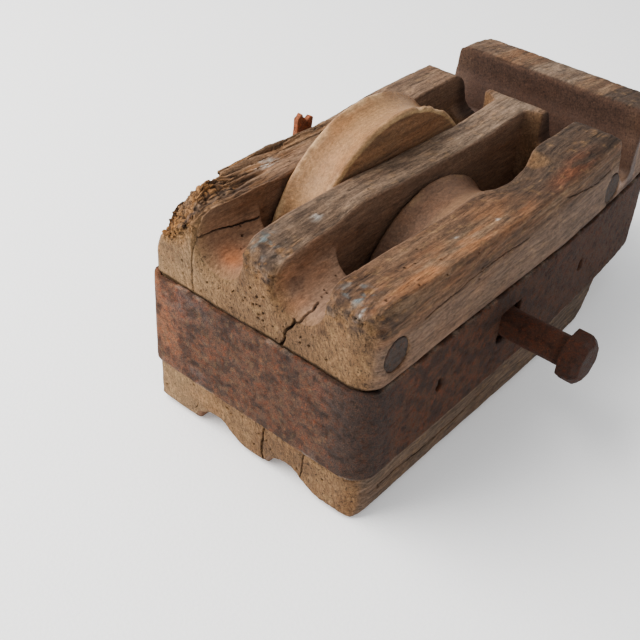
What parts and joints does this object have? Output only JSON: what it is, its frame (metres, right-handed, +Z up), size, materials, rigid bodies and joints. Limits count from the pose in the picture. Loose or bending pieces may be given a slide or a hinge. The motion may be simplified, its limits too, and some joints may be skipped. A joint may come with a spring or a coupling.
{
  "type": "double sheave block",
  "caption": "Weathered iron-strapped wooden rope block: wooden sheaves side by side in through slots on one withdrawable iron pin, with a split key and a crown eye.",
  "frame": {"origin": "on the face that the block lies on, straight below the middle of the pin's axis", "axes": "+X along the pin to its head, +Y to the crown, +Z up from the face that the block lies on"},
  "size_m": [0.2923, 0.504, 0.2165],
  "materials": {
    "shell_wood": "rough, weathered",
    "pale_sheave_wood": "rope-polished",
    "brown_sheave_wood": "rope-polished",
    "strap_iron": "rusted",
    "pin_iron": "rusted",
    "rivet_iron": "rusted",
    "bush_bronze": "dull"
  },
  "bodies": {
    "block": {"shell": "shell_wood", "strap": "strap_iron", "rivet_tail": "rivet_iron", "rivet_crown": "rivet_iron", "rove_tail": "rivet_iron", "rove_crown": "rivet_iron", "strap_nails_left": "rivet_iron", "strap_nails_right": "rivet_iron", "crown_eye": "strap_iron", "crown_eye_washer": "rivet_iron"},
    "large_sheave": {"sheave_left": "pale_sheave_wood"},
    "small_sheave": {"sheave_right": "brown_sheave_wood", "bush": "bush_bronze"},
    "pin_and_key": {"pin": "pin_iron", "pin_key": "pin_iron"}
  },
  "joints": [
    {"name": "large_sheave_spin", "type": "hinge", "parent": "block", "child": "large_sheave", "pos_m": [-0.0355, 0, 0.1085], "axis": [1, 0, 0], "continuous": true},
    {"name": "small_sheave_spin", "type": "hinge", "parent": "block", "child": "small_sheave", "pos_m": [0.0355, 0, 0.0875], "axis": [1, 0, 0], "continuous": true},
    {"name": "pin_slide", "type": "slide", "parent": "block", "child": "pin_and_key", "axis": [-1, 0, 0], "range_m": [0, 0.0505]}
  ]
}
